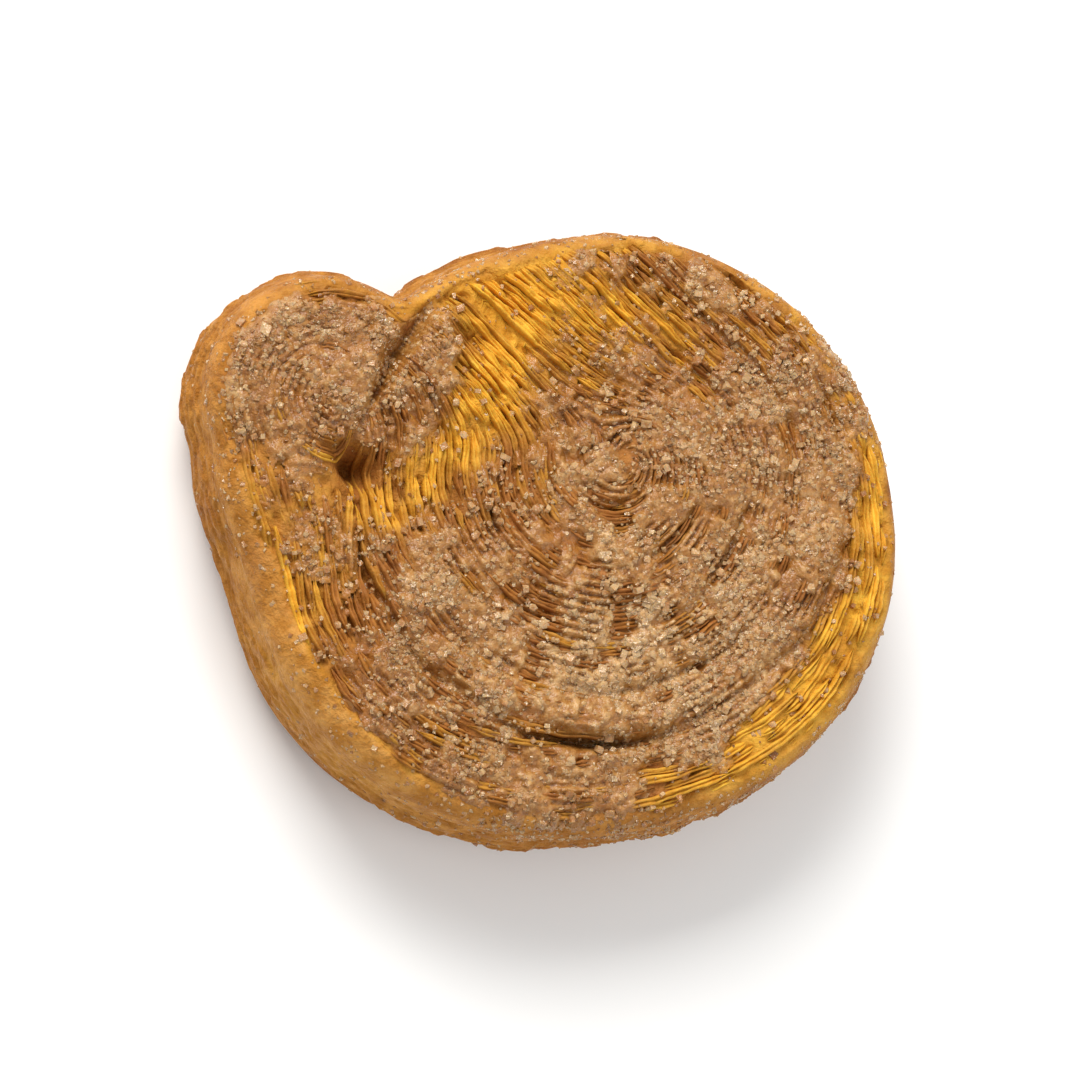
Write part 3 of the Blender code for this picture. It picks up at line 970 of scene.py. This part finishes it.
# Painted shade over the crust at the upper right.
UPPER_RIGHT_SHADE = (13.5, 13.0, 3.6, 2.4)
GAPS_MIDDLE = (0.0, 2.5, 14.0, 10.5)
GAPS_BY_EYE = (-5.0, 3.0, 4.5, 4.5)
CARAMEL = ((0.155, 0.048, 0.007, 1.0), (0.285, 0.106, 0.017, 1.0),
           (0.375, 0.168, 0.038, 1.0), (0.62, 0.385, 0.165, 1.0))


def cells(x, y, size, seed):
    """Distance to the nearest of scattered spots about size apart, and that spot's own value."""
    gx = np.asarray(x, float) / size + 3.1 * seed
    gy = np.asarray(y, float) / size + 5.7 * seed
    ix = np.floor(gx).astype(int)
    iy = np.floor(gy).astype(int)
    nearest = np.full(np.shape(gx), 9.0)
    own = np.zeros(np.shape(gx))
    for step_x in (-1, 0, 1):
        for step_y in (-1, 0, 1):
            cx = ix + step_x
            cy = iy + step_y
            spot_x = cx + lattices[seed][cx % LATTICE, cy % LATTICE]
            spot_y = cy + lattices[seed + 1][cx % LATTICE, cy % LATTICE]
            away = np.hypot(gx - spot_x, gy - spot_y)
            nearer = away < nearest
            nearest = np.where(nearer, away, nearest)
            own = np.where(nearer, lattices[seed + 2][cx % LATTICE, cy % LATTICE], own)
    return nearest, own


def lumps(x, y):
    """Relief of melted grains, 0 to about 1, and the tone of the grain on top."""
    away, own = cells(x, y, LUMP, 0)
    fine_away, fine_own = cells(x, y, FINE_LUMP, 4)
    relief = 0.46 * (1.0 - (away / 0.9) ** 2) + 0.32 * own
    relief = relief + 0.27 * (1.0 - (fine_away / 0.9) ** 2) + 0.13 * fine_own
    return relief, 0.6 * own + 0.4 * fine_own


def sugar_material(name, clear, shades):
    """Half melted sugar, from dark caramel to pale cream by the mesh's tone value."""
    material = bpy.data.materials.new(name)
    material.use_nodes = True
    tree = material.node_tree
    links = tree.links
    shader = tree.nodes["Principled BSDF"]
    tone = mesh_value(tree, "tone")
    ramp = tree.nodes.new("ShaderNodeValToRGB")
    for place in (0.40, 0.65):
        ramp.color_ramp.elements.new(place)
    for element, shade in zip(ramp.color_ramp.elements, shades):
        element.color = shade
    thin = mesh_value(tree, "thin")
    gilt = mesh_value(tree, "gold")
    brown = (0.34, 0.122, 0.018, 1.0)
    yellow = (0.60, 0.270, 0.028, 1.0)
    under = mix_colours(tree, gilt, brown, yellow)
    glazed = mix_colours(tree, thin, ramp.outputs["Color"], under)
    spread = tree.nodes.new("ShaderNodeMath")
    spread.operation = "MULTIPLY_ADD"
    links.new(speckle(tree, 0.0005, 2.0, 0.30, 0.70), spread.inputs[0])
    spread.inputs[1].default_value = 0.30
    links.new(tone, spread.inputs[2])
    links.new(spread.outputs[0], ramp.inputs["Fac"])
    links.new(glazed, shader.inputs["Base Color"])
    links.new(bumps(tree, 0.00032, 2.0, 0.6, 0.00012), shader.inputs["Normal"])
    shader.inputs["Roughness"].default_value = 0.14 if clear else 0.28
    shader.inputs["Specular IOR Level"].default_value = 0.5
    shader.inputs["IOR"].default_value = 1.5
    shader.inputs["Transmission Weight"].default_value = clear
    shader.inputs["Subsurface Weight"].default_value = 0.35
    shader.inputs["Subsurface Radius"].default_value = (1.0, 0.65, 0.35)
    shader.inputs["Subsurface Scale"].default_value = 0.0007
    return material


def leaf_count(x, y):
    """Leaves counted outward, whole on the gap between two of them."""
    angle, rho, inner = from_big_eye(x, y)
    large = turn_share(rho, inner, angle) * BIG_LEAVES + SHEET_LEAVES * (angle - LARGE_START) / math.tau
    small_rho = np.hypot(x - SMALL_EYE[0], y - SMALL_EYE[1])
    small_angle = np.arctan2(y - SMALL_EYE[1], x - SMALL_EYE[0]) % math.tau
    edge = np.interp(small_angle, small_compass, small_table)
    small = small_rho / edge * SMALL_LEAVES
    small = small - SMALL_SHEET_LEAVES * (small_angle - SMALL_START) / math.tau
    fold = (-whole_field(x, y) - FOLD_START) / FOLD_PITCH + 0.5
    return np.where(rho < inner, large, np.where(small_rho < edge, small, fold))


def open_gaps(x, y):
    """Short stretches where the gap between two leaves shows through the crust, 0 to 1."""
    count = leaf_count(x, y)
    line = np.exp(-((count - np.round(count)) / 0.26) ** 2)
    beside_eye = 0.6 * hill(x, y, *GAPS_BY_EYE)
    here = ease(-0.15, 0.40, 0.8 * grain(x, y, 2.4, 10) + 0.5 * grain(x, y, 0.9, 11) + beside_eye)
    return line * here * (0.42 + 0.58 * hill(x, y, *GAPS_MIDDLE))


def square_corners(grid):
    """A grid's values at the four corners of each of its squares, in turn."""
    return grid[:-1, :-1], grid[1:, :-1], grid[1:, 1:], grid[:-1, 1:]


def crust_sheet():
    """Points, faces and tones of the run-together crust over the sugared part of the face; the tones carry
    painted light and shade.
    """
    across = np.arange(-28.5, 27.5, CRUST_STEP)
    along = np.arange(-23.5, 24.0, CRUST_STEP)
    x, y = np.meshgrid(across, along, indexing="ij")
    x = x + 0.04 * grain(x, y, 0.3, 2)
    y = y + 0.04 * grain(x, y, 0.3, 5)
    fill = crust(x, y)
    relief, own = lumps(x, y)
    gap = open_gaps(x, y)
    level = -0.85 + 0.55 * ease(0.05, 0.75, fill) + 0.10 * fill
    z = face_form(x, y) + level + 0.50 * relief + 0.12 * grain(x, y, 2.2, 6) - 0.70 * gap
    patch = 0.5 + 0.65 * (0.6 * grain(x, y, 3.0, 7) + 0.4 * grain(x, y, 1.4, 8))
    # Painted shade darkens the crust's tone over the upper right patch.
    patch = patch + 0.70 * hill(x, y, *LOWER_SUGAR) - 0.8 * hill(x, y, *UPPER_RIGHT_SHADE)
    patch = patch - 0.3 * hill(x, y, *SMALL_SCROLL) - 0.5 * hill(x, y, *LEFT_TOAST)
    patch = patch - 0.4 * hill(x, y, *LOWER_EDGE)
    # Tone: painted light on the lumps' tops and painted shade in the hollows between them and where gaps
    # open through the crust, over each lump's own tone and broad patches.
    tone = 0.06 + 0.22 * own + 0.22 * relief + 0.26 * patch - 0.25 * ease(0.35, 0.0, relief) - 0.55 * gap
    kept = (fill > 0.10) & (whole_field(x, y) < -0.35)
    whole = np.logical_and.reduce(square_corners(kept))
    number = np.arange(x.size).reshape(x.shape)
    corners = np.stack(square_corners(number), axis=-1)[whole]
    used, order = np.unique(corners, return_inverse=True)
    points = np.column_stack((x.ravel(), y.ravel(), z.ravel()))[used]
    shown = 0.85 * ease(0.55, 0.20, fill)
    values = {"tone": tone.ravel()[used], "thin": shown.ravel()[used]}
    values["gold"] = gold(points[:, 0], points[:, 1])
    return points, [tuple(face) for face in order.reshape(corners.shape).tolist()], values


crust_points, crust_faces, crust_values = crust_sheet()
melted_sugar = sugar_material("melted_sugar", 0.0, CARAMEL)
piece("melted_sugar_crust", crust_points, crust_faces, melted_sugar, crust_values)


# ---------------------------------------------------------------------------------------------
# Sugar grains: crystals that didn't melt, stuck to the crust and thinly to the leaves and side.
# The coarse ones are worn pebbles and cubes, the fine ones chips and cubes, all half clear, and
# a few whiter lumps lie near the eye.
GRAIN_TRIES = 15500
FINE_TRIES = 40000
WALL_TRIES = 9000
PALE_TRIES = 130
OUTSIDE = 45.0
ABOVE = 30.0
DOWNWARD = Vector((0.0, 0.0, -1.0))
LOWER_RIM = (0.0, -21.5, 14.0, 3.0)
CRYSTAL = ((0.28, 0.098, 0.022, 1.0), (0.43, 0.178, 0.048, 1.0),
           (0.58, 0.270, 0.090, 1.0), (0.86, 0.53, 0.26, 1.0))
# Where pale crumbs of sugar gather: middle in x and in y, and spread, the likeliest first.
PALE_SPOTS = ((5.4, -5.2, 1.0), (4.2, -7.6, 1.3), (6.4, -8.8, 0.9), (-8.0, -13.2, 1.6), (-19.5, 11.5, 1.8),
              (-1.5, 8.5, 2.4), (12.0, 1.5, 3.5), (10.0, -10.5, 3.0), (-6.0, -9.5, 2.6))


def grain_shapes(shapes, spots, sizes, seed):
    """Crystals at the given places, each turned and chipped its own way, and their corner counts."""
    pick = np.random.default_rng(seed)
    points = []
    faces = []
    counts = []
    base = 0
    for spot, size in zip(spots, sizes):
        corners, sides = shapes[int(pick.integers(len(shapes)))]
        shape = corners * (size * pick.uniform(0.65, 1.2, 3)) * pick.uniform(0.8, 1.15, (len(corners), 1))
        turned = pick.uniform(0.0, math.tau)
        axis = Vector(pick.standard_normal(3)).normalized()
        turn = np.array(Matrix.Rotation(turned, 3, axis))
        points.append(shape @ turn.T + spot)
        faces.extend(tuple(base + corner for corner in side) for side in sides)
        counts.append(len(corners))
        base += len(corners)
    return np.vstack(points), faces, counts


def tree_of(parts):
    """One search tree over several meshes given as points and faces."""
    all_points = []
    all_faces = []
    base = 0
    for points, faces in parts:
        all_points.append(points)
        all_faces.extend(tuple(corner + base for corner in face) for face in faces)
        base += len(points)
    return BVHTree.FromPolygons(np.vstack(all_points).tolist(), all_faces)


def strewn(tree, tries, seed, middle, least, most, bare_share, sink):
    """Places and sizes of grains on the face, thick where the crust is thick."""
    pick = np.random.default_rng(seed)
    spots = []
    sizes = []
    tried_x = pick.uniform(-28, 27, tries)
    tried_y = pick.uniform(-23, 23.5, tries)
    clumps = np.clip(0.62 + 0.75 * grain(tried_x, tried_y, 2.2, 9), 0.0, 1.0)
    wanted = bare_share + (1.0 - bare_share) * crust(tried_x, tried_y) ** 1.5 * clumps
    for x, y, depth, share in zip(tried_x, tried_y, -whole_field(tried_x, tried_y), wanted):
        if depth < 0.15 or pick.random() > share:
            continue
        hit, normal, _, _ = tree.ray_cast(Vector((x, y, ABOVE)), DOWNWARD)
        size = float(np.clip(pick.lognormal(middle, 0.28), least, most))
        if hit is None or hit.z > 15.9 - 0.5 * size:
            continue
        spots.append(np.array(hit) + np.array(normal) * size * pick.uniform(sink, sink + 0.3))
        sizes.append(size)
    return spots, sizes


def side_grains(tree, tries, seed):
    """Places and sizes of grains on the side, most of them below the crack."""
    pick = np.random.default_rng(seed)
    spots = []
    sizes = []
    for _ in range(tries):
        angle = pick.uniform(0.0, math.tau)
        height = pick.uniform(0.8, 13.5)
        under_share = float(lobe(np.array(angle), 268.0, 28.0)) * float(ease(3.0, 11.0, height))
        clump = float(ease(0.0, 0.7, grain(angle * 7.0, height, 2.2, 9)))
        if pick.random() > 0.03 + 0.8 * under_share + 0.5 * clump * float(ease(2.0, 12.0, height)):
            continue
        heading = Vector((math.cos(angle), math.sin(angle), 0.0))
        outside = Vector((*BIG_EYE, height)) + heading * OUTSIDE
        hit, normal, _, _ = tree.ray_cast(outside, -heading)
        if hit is None:
            continue
        size = float(np.clip(pick.lognormal(-1.05, 0.30), 0.20, 0.55))
        spots.append(np.array(hit) + np.array(normal) * size * pick.uniform(-0.36, -0.12))
        sizes.append(size)
    return spots, sizes


def stuck_grains(name, shapes, spots, sizes, seed, pale):
    """One piece of loose-looking grains stuck where they lie."""
    points, faces, counts = grain_shapes(shapes, spots, sizes, seed)
    pick = np.random.default_rng(seed + 1)
    x, y, _ = np.array(spots).T
    patch = 0.12 * grain(x, y, 3.0, 7) + 0.22 * hill(x, y, *LOWER_SUGAR)
    patch = patch - 0.14 * hill(x, y, *SMALL_SCROLL) - 0.18 * hill(x, y, *LOWER_RIM)
    tone = np.clip(pale + patch + 0.17 * pick.standard_normal(len(spots)), 0.05, 1.0)
    thing = piece(name, points, faces, clear_sugar, {"tone": np.repeat(tone, counts)})
    thing.data.polygons.foreach_set("use_smooth", np.zeros(len(thing.data.polygons), dtype=bool))


clear_sugar = sugar_material("clear_sugar", 0.40, CRYSTAL)
face_tree = tree_of([(crumb_points, crumb_faces), (crust_points, crust_faces)] + face_leaves)
ball = bmesh.new()
bmesh.ops.create_icosphere(ball, subdivisions=1, radius=0.5)
ball_corners = np.array([tuple(vert.co) for vert in ball.verts])
ball_corners = np.sign(ball_corners) * np.abs(2.0 * ball_corners) ** 0.7 * 0.5
ball_sides = [tuple(vert.index for vert in face.verts) for face in ball.faces]
ball.free()
pebble = (ball_corners, ball_sides)
cube = (0.70 * np.array([(i & 1, i >> 1 & 1, i >> 2) for i in range(8)], float) - 0.35,
        [(0, 2, 3, 1), (4, 5, 7, 6), (0, 1, 5, 4), (2, 6, 7, 3), (0, 4, 6, 2), (1, 3, 7, 5)])
chip_corners = 0.5 * np.array(((1, 0, 0), (-1, 0, 0), (0, 1, 0), (0, -1, 0), (0, 0, 1), (0, 0, -1)), float)
chip_sides = [(0, 2, 4), (2, 1, 4), (1, 3, 4), (3, 0, 4), (2, 0, 5), (1, 2, 5), (3, 1, 5), (0, 3, 5)]
chip = (chip_corners, chip_sides)
spots, sizes = strewn(face_tree, GRAIN_TRIES, seed=7, middle=-0.66, least=0.30, most=0.85,
                      bare_share=0.03, sink=-0.40)
wall_spots, wall_sizes = side_grains(face_tree, WALL_TRIES, seed=8)
spots = spots + wall_spots
sizes = sizes + wall_sizes
stuck_grains("sugar_grains", (pebble, cube, cube), spots, sizes, seed=9, pale=0.70)
spots, sizes = strewn(face_tree, FINE_TRIES, seed=17, middle=-1.10, least=0.20, most=0.50,
                      bare_share=0.05, sink=-0.28)
stuck_grains("fine_sugar", (chip, cube), spots, sizes, seed=19, pale=0.70)

pick = np.random.default_rng(27)
spots = []
sizes = []
for _ in range(PALE_TRIES):
    near = PALE_SPOTS[int(len(PALE_SPOTS) * pick.random() ** 1.8)]
    x = near[0] + near[2] * pick.standard_normal()
    y = near[1] + near[2] * pick.standard_normal()
    hit, normal, _, _ = face_tree.ray_cast(Vector((x, y, ABOVE)), DOWNWARD)
    if hit is None or hit.z > 15.3 or crust(x, y) < 0.3:
        continue
    size = float(pick.uniform(0.5, 1.0))
    spots.append(np.array(hit) - np.array((0.0, 0.0, size * pick.uniform(0.10, 0.30))))
    sizes.append(size)
stuck_grains("pale_sugar_lumps", (pebble, cube), spots, sizes, seed=29, pale=0.95)
